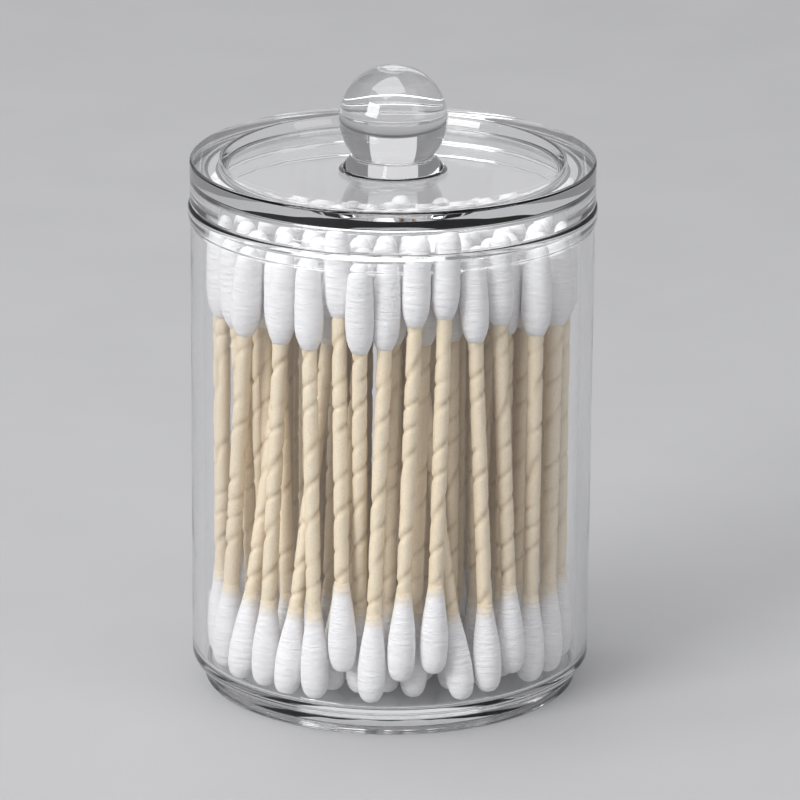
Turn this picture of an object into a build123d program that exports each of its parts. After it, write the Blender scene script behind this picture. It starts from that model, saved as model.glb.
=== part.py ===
from build123d import *
from cmath import rect
from math import asin, cos, pi, radians, sin, sqrt
from random import Random
import os

# Clear round jar with a lift-off lid and a ball knob, filled with cotton swabs.
# Millimetres, +Z up, origin at the centre of the foot where the jar stands.

os.makedirs("parts", exist_ok=True)

# Jar
jar_radius = 33.0
wall = 2.2
foot_step = 2.1
foot_height = 2.9
foot_ring_width = 4.0
foot_recess = 0.6
floor_top = 4.4
floor_round = 1.4
bead_height = 2.6
bead_proud = 0.4
bead_slope = 0.5
round_facets = 2

# Lid
lid_overhang = 0.1
flange_thickness = 7.1
flange_edge = 0.5
flange_ring_width = 5.2
recess_depth = 1.75
recess_draft = 0.7
panel_thickness = 2.1
skirt_clearance = 0.3
skirt_wall = 2.0
skirt_depth = 2.0
stem_height = 2.2
stem_spread = 1.6
stem_ledge = 0.4

# Ball knob
ball_radius = 8.85
ball_flat_drop = 6.0
ball_sides = 28
ball_bands = 12

# Cotton swab
swab_length = 74.5
stick_diameter = 2.5
bud_diameter = 4.5
bud_length = 15.3
bud_tip_diameter = 2.6
belly_from_tip = 5.2
swab_sides = 6

# How the swabs stand in the jar: a row along the wall, and a core that leaves room at the back
seed = 1
tip_gap = 0.2
bud_gap = 0.15
wall_gap = 0.35
headroom = 0.5
core_gap = 0.6
row_gap = 0.7
back_edge = 12.0
forward_lean = 0.16
foot_scatter = 1.2
head_scatter = 1.4
settle_rounds = 150

# Swabs along the front: foot and head in degrees from the front, their steps in by bud spacings, and the lift
front_swabs = (
    (-80, -69, 0, 0, 0.06),
    (-67, -52, 0, 0, 0),
    (-56, -44, 0, 1, 0),
    (-44, -39, 0, 0, 0.05),
    (-33.5, -22, 0.1, 1.4, 0),
    (-24.5, -28, 0, 0, 0.03),
    (-16, -17, 0, 0.5, 0.98),
    (-7.5, -0.5, 0, 0.5, 0.09),
    (-11, -9.4, 1.1, 0, 0.05),
    (3.5, 10, 0, 0.5, 0.76),
    (13, 20.5, 0.1, 0.5, 0.95),
    (22.3, 12, 0, 1.8, 0),
    (31.4, 30.6, 0, 0.5, 0.15),
    (41.7, 41, 0, 0.5, 0.54),
    (50.4, 53, 0, 0, 0.05),
    (63, 68.5, 0, 0, 0.06),
    (80, 85, 0, 0, 0.05),
)

# Levels and radii that the pieces share
bore_radius = jar_radius - wall
foot_radius = jar_radius - foot_step
bead_radius = jar_radius + bead_proud
skirt_bottom = floor_top + tip_gap + swab_length + headroom
rim_height = skirt_bottom + skirt_depth
skirt_outer = bore_radius - skirt_clearance
skirt_inner = skirt_outer - skirt_wall
lid_radius = jar_radius + lid_overhang
flange_top = rim_height + flange_thickness
recess_radius = lid_radius - flange_ring_width
panel_top = flange_top - recess_depth
panel_under = panel_top - panel_thickness
stem_top = panel_top + stem_height
ball_centre = stem_top + ball_flat_drop
ball_flat_radius = sqrt(ball_radius**2 - ball_flat_drop**2)
stem_radius = ball_flat_radius + stem_ledge


def rounding(centre, radius, start, end):
    """Points of a rounded edge, from the start angle to the end angle, in degrees."""
    turn = (end - start) / round_facets
    angles = [radians(start + turn * i) for i in range(round_facets + 1)]
    return [(centre[0] + radius * cos(a), centre[1] + radius * sin(a)) for a in angles]


def rings(sections, sides):
    """Corners of a faceted round body, from its heights and their diameters."""
    turns = [2 * pi * i / sides for i in range(sides)]
    return [(d / 2 * cos(t), d / 2 * sin(t), height) for height, d in sections for t in turns]


# Jar: wall, floor, stepped foot and rim bead, turned as one moulding
with BuildPart() as jar:
    with BuildSketch(Plane.XZ):
        with BuildLine():
            Polyline(
                (0, foot_recess),
                (foot_radius - foot_ring_width, foot_recess),
                (foot_radius - foot_ring_width, 0),
                (foot_radius, 0),
                *rounding((foot_radius, foot_height + foot_step), foot_step, -90, 0),
                (jar_radius, rim_height - bead_height - bead_slope),
                (bead_radius, rim_height - bead_height),
                (bead_radius, rim_height - bead_slope),
                (jar_radius, rim_height),
                (bore_radius, rim_height),
                *rounding((bore_radius - floor_round, floor_top + floor_round), floor_round, 0, -90),
                (0, floor_top),
                close=True,
            )
        make_face()
    revolve(axis=Axis.Z)
jar.part.label = "jar"
export_step(jar.part, "parts/jar.step")

# Lid: thick flange ring, recessed panel, short plug skirt and conical stem, turned as one moulding
with BuildPart() as lid:
    with BuildSketch(Plane.XZ):
        with BuildLine():
            Polyline(
                (0, panel_under),
                (skirt_inner, panel_under),
                (skirt_inner, skirt_bottom),
                (skirt_outer, skirt_bottom),
                (skirt_outer, rim_height),
                (lid_radius, rim_height),
                (lid_radius, flange_top - flange_edge),
                (lid_radius - flange_edge, flange_top),
                (recess_radius, flange_top),
                (recess_radius - recess_draft, panel_top),
                (stem_radius + stem_spread, panel_top),
                (stem_radius, stem_top),
                (0, stem_top),
                close=True,
            )
        make_face()
    revolve(axis=Axis.Z)
lid.part.label = "lid"
export_step(lid.part, "parts/lid.step")

# Ball knob: a ball with a flat where it is glued to the stem
flat_angle = -asin(ball_flat_drop / ball_radius)
band_angle = (pi / 2 - flat_angle) / (ball_bands + 0.5)
latitudes = [flat_angle + band_angle * band for band in range(ball_bands + 1)]
ball_sections = [(ball_radius * sin(a), 2 * ball_radius * cos(a)) for a in latitudes]
with BuildPart() as ball_knob:
    with Locations((0, 0, ball_centre)):
        ConvexPolyhedron(rings(ball_sections, ball_sides))
ball_knob.part.label = "ball_knob"
export_step(ball_knob.part, "parts/ball_knob.step")

# Swab: a paper stick with a cotton bud wound on each end, standing on its lower tip
bud_sections = [(0, bud_tip_diameter), (belly_from_tip, bud_diameter), (bud_length, stick_diameter)]
with BuildPart() as swab:
    with BuildSketch(Plane.XY.offset(bud_length)):
        RegularPolygon(stick_diameter / 2, swab_sides)
    extrude(amount=swab_length - 2 * bud_length)
    ConvexPolyhedron(rings(bud_sections, swab_sides))
    mirror(about=Plane.XY.offset(swab_length / 2))


def settle(feet, heads, head_reaches):
    """Push crowded swabs apart at their buds and along their sticks, inside the jar and the lid's skirt."""
    for _ in range(settle_rounds):
        for foot_share, head_share, spacing in settle_levels:
            for i in range(len(feet)):
                for j in range(i):
                    apart = foot_share * (feet[i] - feet[j]) + head_share * (heads[i] - heads[j])
                    apart /= foot_share + head_share
                    if abs(apart) < spacing:
                        push = apart / abs(apart) * (spacing - abs(apart)) / 2
                        feet[i] += push * foot_share
                        feet[j] -= push * foot_share
                        heads[i] += push * head_share
                        heads[j] -= push * head_share
        feet = [foot * min(1, wall_reach / abs(foot)) for foot in feet]
        heads = [head * min(1, reach / abs(head)) for head, reach in zip(heads, head_reaches)]
    return feet, heads


def scatter(size):
    """A small random shift in the plan."""
    return rect(size * shake.random(), 2 * pi * shake.random())


def seat(foot, head, lift):
    """The place of a swab whose two bellies stand at these points of the plan."""
    lean = head - foot
    belly_length = swab_length - 2 * belly_from_tip
    rise = sqrt(belly_length**2 - abs(lean) ** 2)
    axis = Vector(lean.real, lean.imag, rise) / belly_length
    belly = Vector(foot.real, foot.imag, floor_top + tip_gap + belly_from_tip + lift)
    return Plane(belly - axis * belly_from_tip, z_dir=axis).location


# The front swabs first: a lift of 1 takes a head up to the lid's panel, inside the skirt
shake = Random(seed)
bud_spacing = bud_diameter + bud_gap
stick_spacing = stick_diameter + bud_gap
wall_reach = bore_radius - bud_diameter / 2 - wall_gap
skirt_reach = skirt_inner - bud_diameter / 2 - wall_gap
skirt_room = headroom - bud_gap
panel_room = panel_under - skirt_bottom + skirt_room
feet = []
heads = []
head_reaches = []
lifts = []
for foot_turn, head_turn, foot_steps, head_steps, lift in front_swabs:
    feet.append(rect(wall_reach - foot_steps * bud_spacing, radians(foot_turn - 90)))
    heads.append(rect(wall_reach - head_steps * bud_spacing, radians(head_turn - 90)))
    lifts.append(lift * panel_room)
    head_reaches.append(wall_reach if lifts[-1] < skirt_room else skirt_reach)

# Rows of the rest as swab count, radius, first angle and pitch: on along the wall, then the core
back_arc = 360 - front_swabs[-1][0] + front_swabs[0][0]
back_count = int(radians(back_arc) * wall_reach / bud_spacing) - 1
back_pitch = back_arc / (back_count + 1)
rows = [(back_count, wall_reach, front_swabs[-1][0] - 90 + back_pitch, back_pitch)]
core_radius = wall_reach - bud_spacing - row_gap
while core_radius > bud_diameter / 2:
    count = int(2 * pi * core_radius / (bud_spacing + core_gap))
    rows.append((count, core_radius, 0, 360 / count))
    core_radius -= bud_spacing + row_gap

# They are shaken, those past the back edge are left out, and the rest lean forward on each other
row_ends = []
for count, radius, start, pitch in rows:
    for i in range(count):
        foot = rect(radius, radians(start + pitch * i)) + scatter(foot_scatter)
        if foot.imag < back_edge:
            feet.append(foot)
            heads.append(foot - 1j * forward_lean * (foot.imag + wall_reach) + scatter(head_scatter))
            head_reaches.append(wall_reach)
            lifts.append(0)
    row_ends.append(len(feet))

# Levels at which crowded swabs part, from the lower buds to the upper: shares of foot and head, and spacing
settle_levels = (
    (1, 0, bud_spacing),
    (1, 0.35, stick_spacing),
    (1, 1, stick_spacing),
    (0.35, 1, stick_spacing),
    (0, 1, bud_spacing),
)
feet, heads = settle(feet, heads, head_reaches)
seats = [seat(foot, head, lift) for foot, head, lift in zip(feet, heads, lifts)]

# The swabs along the wall and in the row behind are nodes of their own, and those of the core share one
single_count = row_ends[1]
for number, place in enumerate(seats[:single_count], 1):
    with BuildPart() as placed:
        with Locations(place):
            add(swab.part)
    name = f"swab_{number:02d}"
    placed.part.label = name
    export_step(placed.part, f"parts/{name}.step")
with BuildPart() as core:
    with Locations(*seats[single_count:]):
        add(swab.part)
core.part.label = "swabs_core"
export_step(core.part, "parts/swabs_core.step")
print("swabs:", len(seats), "of which nodes of their own:", single_count)
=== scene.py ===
# %% [markdown]
# # A clear jar of cotton swabs
# The object is a round clear jar with a lift-off lid,
# packed with cotton swabs that lean on each other.
# The solids are already in the frame, so this lesson only gives them their finish:
# smooth mouldings with true rounded edges, clear plastic, wound cotton and rolled paper.

# %% Load the frame
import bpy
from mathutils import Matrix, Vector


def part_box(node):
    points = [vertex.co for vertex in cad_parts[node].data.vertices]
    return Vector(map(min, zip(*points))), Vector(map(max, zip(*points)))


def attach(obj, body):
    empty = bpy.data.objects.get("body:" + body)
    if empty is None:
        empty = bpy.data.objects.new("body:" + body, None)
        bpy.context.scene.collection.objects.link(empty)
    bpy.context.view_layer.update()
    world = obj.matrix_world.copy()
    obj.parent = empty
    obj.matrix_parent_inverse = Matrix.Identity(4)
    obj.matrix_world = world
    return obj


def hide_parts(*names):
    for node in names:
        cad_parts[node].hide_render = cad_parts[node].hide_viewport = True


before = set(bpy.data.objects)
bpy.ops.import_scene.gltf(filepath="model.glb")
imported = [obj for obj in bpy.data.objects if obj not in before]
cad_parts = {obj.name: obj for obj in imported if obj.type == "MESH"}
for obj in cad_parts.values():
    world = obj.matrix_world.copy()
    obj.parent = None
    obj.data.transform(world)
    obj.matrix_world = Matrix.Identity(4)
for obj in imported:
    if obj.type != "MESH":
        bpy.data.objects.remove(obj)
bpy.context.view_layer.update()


# %% Tools for the lesson
from math import atan2, cos, pi, radians, sin, sqrt, tau
from random import Random

import bmesh
import bpy
from mathutils import Matrix, Vector, noise

mm = 0.001
scene = bpy.context.scene
scene.view_settings.view_transform = "Standard"

# %% [markdown]
# ## The turned mouldings
# Jar and lid are round mouldings. A stack of cylinders would leave hard edges between them,
# and in clear plastic each edge is a lens that shows at once.
# So half of the section is drawn as a line of corners,
# each corner is bevelled to its own rounding, and one spin turns the line into a closed wall.


# %% A line turned round an axis
def draw_line(bm, points):
    """Points of (radius, height), joined by edges."""
    line = [bm.verts.new((radius, 0, height)) for radius, height in points]
    for ends in zip(line, line[1:]):
        bm.edges.new(ends)
    return line


def spin_line(bm, sides):
    """Turn the drawn line once round the axis."""
    bmesh.ops.spin(bm, geom=bm.verts[:] + bm.edges[:], axis=(0, 0, 1), cent=(0, 0, 0),
                   angle=tau, steps=sides, use_merge=True)


# %% Objects of meshes
merge_distance = 0.001 * mm


def as_object(name, bm):
    """The smooth object of a mesh, linked to the scene."""
    mesh = bpy.data.meshes.new(name)
    bm.to_mesh(mesh)
    bm.free()
    mesh.shade_smooth()
    piece = bpy.data.objects.new(name, mesh)
    scene.collection.objects.link(piece)
    return piece


def finished(name, bm):
    """The object of a closed mesh, with its doubles merged and its faces outwards."""
    bmesh.ops.remove_doubles(bm, verts=bm.verts, dist=merge_distance)
    bmesh.ops.recalc_face_normals(bm, faces=bm.faces)
    open_edges = sum(len(edge.link_faces) != 2 for edge in bm.edges)
    volume = bm.calc_volume() * 1e6
    piece = as_object(name, bm)
    faces = len(piece.data.polygons)
    print(f"{name}: {faces} faces, {volume:.2f} cm3, {open_edges} open edges")
    return piece


def shade_flats(piece):
    """Large flats keep their own direction, so that roundings don't tint them."""
    even = piece.modifiers.new("even_shading", "WEIGHTED_NORMAL")
    even.mode = "FACE_AREA"
    even.weight = 100


# %% A moulding from its section
moulding_sides = 144
rounding_segments = 8


def turned(name, corners):
    """A moulding from its section, given as corners of (radius, height, rounding)."""
    bm = bmesh.new()
    line = draw_line(bm, [(radius, height) for radius, height, _ in corners])
    for corner, (_, _, rounding) in zip(line, corners):
        if rounding:
            bmesh.ops.bevel(bm, geom=[corner], offset=rounding, segments=rounding_segments,
                            profile=0.5, affect="VERTICES", material=-1)
    spin_line(bm, moulding_sides)
    return finished(name, bm)


# %% [markdown]
# ## The jar
# The wall runs down to a rounded lower edge and steps in to a foot ring,
# which is what the jar stands on.
# At the mouth a slightly proud bead stiffens the rim, and the lid sits on it.
# The heights are read from the frame, and the sizes that it doesn't show are named here.

# %% Jar
_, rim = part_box("jar")
rim_height = rim.z
bead_radius = rim.x
bead_proud = 0.4 * mm
bead_height = 2.6 * mm
bead_slope = 0.5 * mm
wall_thickness = 2.2 * mm
floor_top = 4.4 * mm
foot_step = 2.1 * mm
foot_height = 2.9 * mm
foot_recess = 0.6 * mm
foot_ring_width = 4.0 * mm

jar_radius = bead_radius - bead_proud
bore_radius = jar_radius - wall_thickness
bead_low = rim_height - bead_height
foot_radius = jar_radius - foot_step
foot_ring_inner = foot_radius - foot_ring_width

jar = turned("clear_jar", [
    (0, foot_recess, 0),
    (foot_ring_inner, foot_recess, 0.3 * mm),
    (foot_ring_inner, 0, 0.25 * mm),
    (foot_radius, 0, 0.45 * mm),
    (foot_radius, foot_height, 0.25 * mm),
    (jar_radius, foot_height, 1.8 * mm),
    (jar_radius, bead_low - bead_slope, 0.4 * mm),
    (bead_radius, bead_low, 0.3 * mm),
    (bead_radius, rim_height, 0.9 * mm),
    (bore_radius, rim_height, 0.4 * mm),
    (bore_radius, floor_top, 1.4 * mm),
    (0, floor_top, 0),
])
shade_flats(jar)
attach(jar, "jar")
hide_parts("jar")

# %% [markdown]
# ## The lid
# The lid is one more turned moulding: a thick ring that sits on the rim,
# a short skirt that plugs the mouth, a sunk panel and a conical stem for the knob.
# Clear faces that share one plane confuse a ray, so the ring stands a hair above the rim,
# as two real mouldings do.

# %% Lid
lid_low, lid_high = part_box("lid")
skirt_bottom = lid_low.z
stem_top = lid_high.z
lid_radius = lid_high.x
contact_gap = 0.03 * mm
skirt_clearance = 0.3 * mm
skirt_wall = 2.0 * mm
flange_thickness = 7.1 * mm
flange_ring_width = 5.2 * mm
recess_depth = 1.75 * mm
recess_draft = 0.7 * mm
panel_thickness = 2.1 * mm
ball_radius = 8.85 * mm
ball_flat_drop = 6.0 * mm
stem_ledge = 0.4 * mm
stem_spread = 1.6 * mm

flange_bottom = rim_height + contact_gap
flange_top = rim_height + flange_thickness
skirt_outer = bore_radius - skirt_clearance
skirt_inner = skirt_outer - skirt_wall
recess_radius = lid_radius - flange_ring_width
panel_top = flange_top - recess_depth
panel_under = panel_top - panel_thickness
stem_radius = sqrt(ball_radius**2 - ball_flat_drop**2) + stem_ledge

lid = turned("clear_lid", [
    (0, panel_under, 0),
    (skirt_inner, panel_under, 0.9 * mm),
    (skirt_inner, skirt_bottom, 0.4 * mm),
    (skirt_outer, skirt_bottom, 0.5 * mm),
    (skirt_outer, flange_bottom, 0.3 * mm),
    (lid_radius, flange_bottom, 0.3 * mm),
    (lid_radius, flange_top, 0.5 * mm),
    (recess_radius, flange_top, 0.4 * mm),
    (recess_radius - recess_draft, panel_top, 0.5 * mm),
    (stem_radius + stem_spread, panel_top, 0.5 * mm),
    (stem_radius, stem_top, 0.15 * mm),
    (0, stem_top, 0),
])
shade_flats(lid)
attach(lid, "lid")
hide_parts("lid")

# %% [markdown]
# ## The ball knob
# The knob is a solid ball with a small flat, glued to the stem.
# A sphere cut by a plane gives both forms, and the cut's rim gets a fine bevel.
# The flat stays a glue film's thickness above the stem,
# which draws the bright seam under the ball.

# %% Ball knob
ball_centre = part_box("ball_knob")[0].z + ball_flat_drop
flat_bevel = 0.1 * mm

bm = bmesh.new()
bmesh.ops.create_uvsphere(bm, u_segments=96, v_segments=64, radius=ball_radius)
cut = bmesh.ops.bisect_plane(bm, geom=bm.verts[:] + bm.edges[:] + bm.faces[:], clear_inner=True,
                             plane_co=(0, 0, contact_gap - ball_flat_drop), plane_no=(0, 0, 1))
flat_edges = [part for part in cut["geom_cut"] if isinstance(part, bmesh.types.BMEdge)]
bmesh.ops.edgeloop_fill(bm, edges=flat_edges)
bmesh.ops.bevel(bm, geom=flat_edges, offset=flat_bevel, segments=2, profile=0.5,
                affect="EDGES", material=-1)
bmesh.ops.translate(bm, verts=bm.verts, vec=(0, 0, ball_centre))
ball = finished("clear_ball_knob", bm)
shade_flats(ball)
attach(ball, "lid")
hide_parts("ball_knob")

# %% [markdown]
# ## One swab
# A swab is a rolled paper stick with cotton wound on both ends.
# Its sections are short lines of (radius, height) points in mm, spun like the jar.
# The lower bud is fullest near its tip and runs out on the stick in a long taper.
# The upper one swells away from its tip and ends in a short round shoulder.
# The stick is tucked a little way into both.

# %% Sections of a swab
swab_length = 74.5 * mm
stick_radius = 1.2 * mm
bud_length = 15.3 * mm
lower_bud = [
    (0.0, 0.0), (0.6, 0.07), (1.14, 0.32), (1.6, 0.82), (1.95, 1.65), (2.16, 2.8), (2.25, 4.2),
    (2.25, 5.6), (2.17, 7.2), (2.01, 8.8), (1.8, 10.4), (1.57, 12.0), (1.36, 13.7), (1.21, 15.2),
]
upper_bud = [
    (0.0, 0.0), (0.55, 0.07), (1.03, 0.32), (1.42, 0.82), (1.71, 1.65), (1.91, 2.8), (2.05, 4.2),
    (2.16, 6.0), (2.24, 8.0), (2.28, 9.8), (2.25, 11.4), (2.1, 12.8), (1.8, 13.9), (1.3, 15.1),
]
swab_sides = 18


def spun(points):
    """A closed body of (radius, height) points turned round the swab's axis."""
    bm = bmesh.new()
    draw_line(bm, points)
    spin_line(bm, swab_sides)
    bmesh.ops.remove_doubles(bm, verts=bm.verts, dist=merge_distance)
    return bm


def add_mesh(whole, part):
    """Add one mesh to another."""
    mesh = bpy.data.meshes.new("part")
    part.to_mesh(mesh)
    part.free()
    whole.from_mesh(mesh)
    bpy.data.meshes.remove(mesh)


# %% A straight swab on the jar's axis
stick_tuck = 3 * mm
stick_rings = 100
paper_slot, cotton_slot = 0, 1
turned_over = Matrix.Translation((0, 0, swab_length)) @ Matrix.Rotation(pi, 4, "X")


def straight_swab():
    """The mesh of one swab, standing on its lower tip, with paper and cotton in their slots."""
    stick_end = bud_length - stick_tuck
    stick_step = (swab_length - 2 * stick_end) / stick_rings
    stick_line = [(stick_radius, stick_end + stick_step * ring) for ring in range(stick_rings + 1)]
    bm = spun([(0, stick_end), *stick_line, (0, swab_length - stick_end)])
    for section, place in ((lower_bud, Matrix()), (upper_bud, turned_over)):
        bud = spun([(radius * mm, height * mm) for radius, height in section] + [(0, bud_length)])
        bmesh.ops.transform(bud, verts=bud.verts, matrix=place)
        for face in bud.faces:
            face.material_index = cotton_slot
        add_mesh(bm, bud)
    bmesh.ops.recalc_face_normals(bm, faces=bm.faces)
    return bm


model_swab = straight_swab()
print("one swab:", len(model_swab.verts), "points and", len(model_swab.faces), "faces")

# %% [markdown]
# ## What each point remembers
# The finishes have to follow a swab when it leans.
# So each point keeps its place on the straight swab, the number of its swab,
# and how deep it lies in the paper's crease.


# %% Layers for the finishes
def add_layers(bm):
    """Room for the straight place, the swab's number and the depth of the crease."""
    bm.verts.layers.float_vector.new("straight")
    bm.verts.layers.float.new("swab_number")
    bm.verts.layers.float.new("crease")


add_layers(model_swab)
print("layers of floats:", model_swab.verts.layers.float.keys())

# %% [markdown]
# ## Where the swabs stand
# Every swab of the frame is a straight six-sided body, so its middle is the mean of its points,
# and its axis joins the mean of the lower half to the mean of the upper half.
# The inner swabs share one node, which is first taken apart into its loose bodies.
# A set gives its members in no fixed order, so points and bodies are sorted,
# and each swab gets the same number and the same random turn in every run.


# %% Axes of the swabs
def loose_bodies(node):
    """Points of each loose body of a CAD node, in a fixed order."""
    bm = bmesh.new()
    bm.from_mesh(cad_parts[node].data)
    bmesh.ops.remove_doubles(bm, verts=bm.verts, dist=merge_distance)
    bodies, left = [], set(bm.verts)
    while left:
        reached = [left.pop()]
        for vert in reached:
            near = {edge.other_vert(vert) for edge in vert.link_edges} & left
            reached += near
            left -= near
        bodies.append(sorted(tuple(vert.co) for vert in reached))
    bm.free()
    return [[Vector(point) for point in body] for body in sorted(bodies)]


def mean(points):
    """The mean of a list of points."""
    return sum(points, Vector()) / len(points)


def axis_of(points):
    """Middle and direction of a straight body that stands up."""
    middle = mean(points)
    low = mean([point for point in points if point.z < middle.z])
    high = mean([point for point in points if point.z > middle.z])
    return middle, (high - low).normalized()


swab_nodes = sorted(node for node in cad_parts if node.startswith("swab"))
swab_axes = {node: [axis_of(points) for points in loose_bodies(node)] for node in swab_nodes}
print(len(swab_nodes), "nodes hold", sum(map(len, swab_axes.values())), "swabs")

# %% [markdown]
# ## The crease of the paper
# The stick is a strip of paper rolled and twisted tight, so a crease climbs round it like a screw.
# A bump would only paint the crease, so the points near it are pulled in.
# Their height and their angle round the axis give the screw, with its pitch in mm.
# In each turn the paper sinks by a short step and rises again on a longer slope.
# Slow noises keep the turns uneven and let some of them fade out.

# %% Crease
crease_pitch = 5.8
crease_slope = 0.22
crease_step = 0.1
drift_scale, drift_shift = 0.09, 9.7
fade_scale, fade_shift = 0.22, 5.3
fade_start, fade_width = -0.5, 0.6


def crease_at(spot, number):
    """Depth of the crease at a place on the straight stick in mm, from 0 to 1."""
    drift = noise.noise((0, 0, drift_scale * spot.z + drift_shift * number))
    turn = (atan2(spot.y, spot.x) / tau - spot.z / crease_pitch - drift) % 1
    depth = max(1 - turn / crease_slope, 1 - (1 - turn) / crease_step, 0)
    smooth_depth = depth * depth * (3 - 2 * depth)
    fade = noise.noise(spot * fade_scale + Vector((0, 0, fade_shift * number)))
    return smooth_depth * min(max((fade - fade_start) / fade_width, 0), 1)


side_spots = [Vector((stick_radius / mm, 0, height)) for height in range(20, 50, 5)]
print("crease up one side of a stick:", [round(crease_at(spot, 1), 2) for spot in side_spots])

# %% [markdown]
# ## The swabs in the jar
# No two swabs are alike. Each copy is pushed in and out by a coarse and a fine noise,
# as shares of its radius, and its crease is cut by another share.
# It is then turned on its own axis and leans into place.

# %% Worn swabs
crease_depth = 0.26
lump_height, lump_scale = 0.035, 0.35
nub_height, nub_scale = 0.02, 1.1
wear_shift = 0.5


def worn_copy(number):
    """A copy of the straight swab with its own unevenness and crease, and its layers filled."""
    bm = model_swab.copy()
    straight = bm.verts.layers.float_vector["straight"]
    swab_number = bm.verts.layers.float["swab_number"]
    crease = bm.verts.layers.float["crease"]
    here = Vector((0, 0, wear_shift * number))
    for vert in bm.verts:
        spot = vert.co / mm
        side = Vector((vert.co.x, vert.co.y, 0))
        lumps = lump_height * noise.noise(spot * lump_scale + here)
        nubs = nub_height * noise.noise(spot * nub_scale + here)
        swell = lumps + nubs
        if vert.link_faces[0].material_index == paper_slot:
            vert[crease] = crease_at(spot, number)
            swell -= crease_depth * vert[crease]
        vert.co += side * swell
        vert[straight] = vert.co / mm
        vert[swab_number] = number
    return bm


# %% Placed swabs
shake = Random(7)


def place_swab(whole, number, middle, axis):
    """Add one swab to a mesh, leaning as its CAD body does."""
    bm = worn_copy(number)
    lean = Vector((0, 0, 1)).rotation_difference(axis).to_matrix().to_4x4()
    roll = Matrix.Rotation(tau * shake.random(), 4, "Z")
    stand = Matrix.Translation(middle - axis * swab_length / 2)
    bmesh.ops.transform(bm, verts=bm.verts, matrix=stand @ lean @ roll)
    add_mesh(whole, bm)


swabs = []
placed = 0
for node in swab_nodes:
    whole = bmesh.new()
    add_layers(whole)
    for middle, axis in swab_axes[node]:
        placed += 1
        place_swab(whole, placed, middle, axis)
    swab = as_object("wound_" + node, whole)
    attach(swab, "jar")
    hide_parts(node)
    swabs.append(swab)
swab_faces = sum(len(swab.data.polygons) for swab in swabs)
print(placed, "swabs in", len(swabs), "pieces with", swab_faces, "faces")

# %% [markdown]
# ## Clear plastic
# The mouldings are clear and colourless. A glass shader alone would keep lamps from the swabs,
# because a lamp's straight ray ends at the first bent one.
# So rays from lamps and soft bounces pass straight through, and only what the eye follows is bent.
# A slow ripple from the mould and fine handling marks keep the surface from looking computed.


# %% Helpers for materials
def fill_inputs(made, inputs):
    """Link the inputs of a node to sockets, or set them to values."""
    for socket, value in inputs.items():
        if isinstance(value, bpy.types.NodeSocket):
            made.id_data.links.new(value, made.inputs[socket])
        else:
            made.inputs[socket].default_value = value


def start_material(name):
    """A material, a maker of its nodes and its main shader."""
    material = bpy.data.materials.new(name)
    material.use_nodes = True
    nodes = material.node_tree.nodes

    def node(kind, inputs=(), **settings):
        made = nodes.new("ShaderNode" + kind)
        for setting, value in settings.items():
            setattr(made, setting, value)
        fill_inputs(made, dict(inputs))
        return made

    return material, node, nodes["Principled BSDF"]


def blend_colours(node, share, first, second, low=0.0, high=1.0):
    """A colour between two, as a share goes from low to high."""
    ramp = node("ValToRGB", {"Fac": share})
    ramp.color_ramp.elements[0].color = (*first, 1)
    ramp.color_ramp.elements[0].position = low
    ramp.color_ramp.elements[1].color = (*second, 1)
    ramp.color_ramp.elements[1].position = high
    return ramp.outputs["Color"]


# %% Clear plastic
faint_tint = (0.975, 0.98, 0.985)
no_tint = (1.0, 1.0, 1.0)
passing_tint = (0.96, 0.965, 0.97, 1)


def clear_plastic():
    """Plastic that bends what the eye follows and lets the light of lamps straight through."""
    material, node, shader = start_material("clear_plastic")
    place = node("TexCoord").outputs["Object"]
    ripple = node("TexNoise", {"Vector": place, "Scale": 70.0, "Detail": 2.0}).outputs["Fac"]
    marks = node("TexNoise", {"Vector": place, "Scale": 900.0, "Detail": 4.0, "Roughness": 0.7})
    dulling = node("MapRange", {"Value": marks.outputs["Fac"], "From Min": 0.55, "From Max": 0.8,
                                "To Min": 0.0, "To Max": 0.04})
    bump = node("Bump", {"Height": ripple, "Strength": 0.06, "Distance": 0.5 * mm})
    fill_inputs(shader, {
        "Base Color": blend_colours(node, ripple, faint_tint, no_tint),
        "Roughness": dulling.outputs["Result"],
        "Normal": bump.outputs["Normal"],
        "Transmission Weight": 1.0,
        "IOR": 1.53,
    })
    path = node("LightPath")
    straight = node("BsdfTransparent", {"Color": passing_tint}).outputs["BSDF"]
    lamps = node("MixShader", {0: path.outputs["Is Shadow Ray"], 1: shader.outputs["BSDF"],
                               2: straight})
    bounces = node("MixShader", {0: path.outputs["Is Diffuse Ray"], 1: lamps.outputs["Shader"],
                                 2: straight})
    output = material.node_tree.nodes["Material Output"]
    fill_inputs(output, {"Surface": bounces.outputs["Shader"]})
    return material


plastic = clear_plastic()
for piece in (jar, lid, ball):
    piece.data.materials.append(plastic)
print("clear plastic on", [piece.name for piece in (jar, lid, ball)])

# %% [markdown]
# ## Rolled paper
# The stick is ivory paper, pressed smooth,
# so its lit side shines a little paler than the gaps behind.
# Fine fibres mottle it. The crease also gets painted shade: its colour is darkened, standing in
# for the little light that gets into it, by the depth that was stored with the points, just where
# the groove lies.

# %% A swab's own place
swab_shift = (3.1, 5.3, 107.0)


def own_place(node):
    """The place on the straight swab in mm, and one that no two swabs share."""
    straight = node("Attribute", attribute_name="straight").outputs["Vector"]
    number = node("Attribute", attribute_name="swab_number").outputs["Fac"]
    shift = node("VectorMath", {0: swab_shift, 3: number}, operation="SCALE")
    shifted = node("VectorMath", {0: straight, 1: shift.outputs["Vector"]}, operation="ADD")
    return straight, shifted.outputs["Vector"]


# %% Sums and mixes
def maths(node, operation, *values):
    """The result of one step of arithmetic."""
    return node("Math", dict(enumerate(values)), operation=operation).outputs[0]


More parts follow.
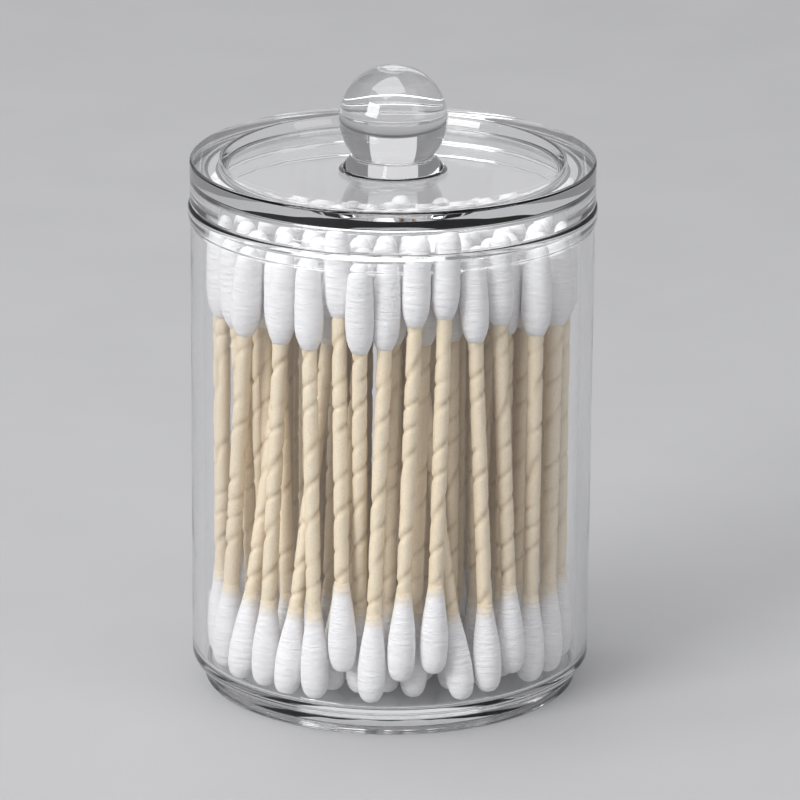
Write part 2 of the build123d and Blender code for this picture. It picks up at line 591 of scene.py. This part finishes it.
def mix_colours(node, share, first, second):
    """A mix of two colours, by the numbers of the colour sockets, whose names aren't unique."""
    return node("Mix", {0: share, 6: first, 7: second}, data_type="RGBA").outputs[2]


# %% Rolled paper
paper_dark = (0.79, 0.64, 0.43)
paper_light = (0.88, 0.77, 0.59)
# Painted shade: the colour that the crease is darkened towards, by its stored depth.
painted_crease_shade_colour = (0.6, 0.45, 0.27, 1)
painted_crease_shade_share = 0.65


def ivory(node, share):
    """The mottled colour of the paper."""
    return blend_colours(node, share, paper_dark, paper_light, 0.3, 0.7)


def rolled_paper():
    """Paper with fine fibres and painted shade darkening its crease."""
    material, node, shader = start_material("rolled_paper")
    _, place = own_place(node)
    fibres = node("TexNoise", {"Vector": place, "Scale": 3.0, "Detail": 4.0,
                               "Roughness": 0.65}).outputs["Fac"]
    bump = node("Bump", {"Height": fibres, "Strength": 1.0, "Distance": 0.09 * mm})
    crease = node("Attribute", attribute_name="crease").outputs["Fac"]
    # Painted shade: the paper's colour is darkened in the crease by its stored depth.
    painted_shade_in_crease = maths(node, "MULTIPLY", crease, painted_crease_shade_share)
    fill_inputs(shader, {
        "Base Color": mix_colours(node, painted_shade_in_crease, ivory(node, fibres), painted_crease_shade_colour),
        "Normal": bump.outputs["Normal"],
        "Roughness": 0.5,
        "Specular IOR Level": 0.7,
    })
    return material


# %% [markdown]
# ## Wound cotton
# A bud is a lap of cotton wound on the stick, so its fibres run round it in fine level bands.
# Noise squeezed along the axis draws the bands, a finer one the fibres,
# and where the lower bud runs out the thinning cotton lets the paper's colour through.

# %% Wound cotton
cotton_shade = (0.91, 0.895, 0.9)
cotton_white = (0.99, 0.98, 0.98)
fluff_share = 0.5
ragged_reach = 1.5
thin_start, thin_end = 0.7, 4.0


def wound_cotton():
    """White cotton in fine bands, with a thin and ragged end on the lower bud."""
    material, node, shader = start_material("wound_cotton")
    straight, place = own_place(node)
    squeezed = node("Mapping", {"Vector": place, "Scale": (0.3, 0.3, 1.7)}).outputs["Vector"]
    bands = node("TexNoise", {"Vector": squeezed, "Scale": 1.0, "Detail": 3.0,
                              "Roughness": 0.6}).outputs["Fac"]
    fluff = node("TexNoise", {"Vector": place, "Scale": 4.5, "Detail": 5.0,
                              "Roughness": 0.7}).outputs["Fac"]
    height = maths(node, "MULTIPLY_ADD", fluff, fluff_share, bands)
    bump = node("Bump", {"Height": height, "Strength": 1.0, "Distance": 0.35 * mm})
    white = blend_colours(node, bands, cotton_shade, cotton_white, 0.35, 0.65)

    half = swab_length / 2 / mm
    bud_start = half - bud_length / mm
    along = node("SeparateXYZ", {"Vector": straight}).outputs["Z"]
    above_middle = maths(node, "SUBTRACT", along, half)
    from_middle = maths(node, "ABSOLUTE", above_middle)
    ragged = maths(node, "MULTIPLY_ADD", fluff, ragged_reach, from_middle)
    cover = node("MapRange", {"Value": ragged, "From Min": bud_start + thin_start,
                              "From Max": bud_start + thin_end}, interpolation_type="SMOOTHSTEP")
    upper = maths(node, "GREATER_THAN", above_middle, 0.0)
    full = maths(node, "MAXIMUM", cover.outputs["Result"], upper)
    fill_inputs(shader, {
        "Base Color": mix_colours(node, full, ivory(node, fluff), white),
        "Normal": bump.outputs["Normal"],
        "Roughness": 0.95,
        "Sheen Weight": 0.25,
        "Specular IOR Level": 0.2,
    })
    return material


paper = rolled_paper()
cotton = wound_cotton()
for swab in swabs:
    swab.data.materials.append(paper)
    swab.data.materials.append(cotton)
print("paper and cotton on", len(swabs), "swab pieces")

# %% [markdown]
# ## The studio
# A pale floor and large soft lamps light the jar evenly.
# Clear plastic is seen by its edges, so the surroundings stay darker than the floor:
# the roundings then draw grey and white lines.

# %% Floor
floor_reach = 6.0
floor_drop = 0.02 * mm


def pale_floor():
    """Grey with a faint grain."""
    material, node, shader = start_material("pale_floor")
    place = node("TexCoord").outputs["Object"]
    grain = node("TexNoise", {"Vector": place, "Scale": 30.0, "Detail": 3.0}).outputs["Fac"]
    grey = blend_colours(node, grain, (0.38, 0.38, 0.39), (0.42, 0.42, 0.43))
    fill_inputs(shader, {"Base Color": grey, "Roughness": 0.7})
    return material


bm = bmesh.new()
bmesh.ops.create_grid(bm, x_segments=1, y_segments=1, size=floor_reach)
bmesh.ops.translate(bm, verts=bm.verts, vec=(0, 0, -floor_drop))
floor = as_object("studio_floor", bm)
floor.data.materials.append(pale_floor())
print("floor:", 2 * floor_reach, "m wide")

# %% Lamps and surroundings
world = bpy.data.worlds.new("studio_grey")
world.use_nodes = True
fill_inputs(world.node_tree.nodes["Background"], {"Color": (0.24, 0.24, 0.25, 1)})
scene.world = world
lamp_aim = Vector((0, 0, 0.05))


def softbox(name, place, size, power):
    """A square lamp that faces the middle of the jar."""
    lamp = bpy.data.lights.new(name, "AREA")
    lamp.shape = "SQUARE"
    lamp.size = size
    lamp.energy = power
    box = bpy.data.objects.new(name, lamp)
    box.location = place
    box.rotation_euler = (lamp_aim - Vector(place)).to_track_quat("-Z", "Y").to_euler()
    scene.collection.objects.link(box)


softbox("top_softbox", place=(-0.2, -0.1, 1.6), size=1.3, power=23.0)
softbox("key_softbox", place=(-1.3, -1.1, 0.9), size=0.9, power=26.0)
softbox("fill_softbox", place=(1.4, -0.8, 0.7), size=0.8, power=4.0)
softbox("back_softbox", place=(0.0, 1.8, 0.75), size=1.4, power=3.0)
print("lamps:", [lamp.name for lamp in bpy.data.lights])

# %% [markdown]
# ## The camera
# The picture was taken from a little above with a long lens.
# Fitting the ellipses of the lid and the foot gives the distance and the rise,
# and three small turns centre the jar as it stands in the picture.

# %% Camera
camera_lens = 240.7
camera_distance = 0.8801
camera_rise = radians(17.49)
aim_height = 0.05286
turn_right, turn_up, tilt = radians(0.091), radians(-0.348), radians(0.386)

camera_data = bpy.data.cameras.new("photo_camera")
camera_data.sensor_width = 36.0
camera_data.lens = camera_lens
camera = bpy.data.objects.new("photo_camera", camera_data)
camera_back = camera_distance * cos(camera_rise)
camera_height = camera_distance * sin(camera_rise) + aim_height
stand = Matrix.Translation((0, -camera_back, camera_height))
look = Matrix.Rotation(pi / 2 - camera_rise, 4, "X")
sideways = Matrix.Rotation(-turn_right, 4, "Y")
trim = sideways @ Matrix.Rotation(turn_up, 4, "X") @ Matrix.Rotation(tilt, 4, "Z")
camera.matrix_world = stand @ look @ trim
scene.collection.objects.link(camera)
scene.camera = camera
print("camera at", [round(c, 4) for c in camera.matrix_world.translation])
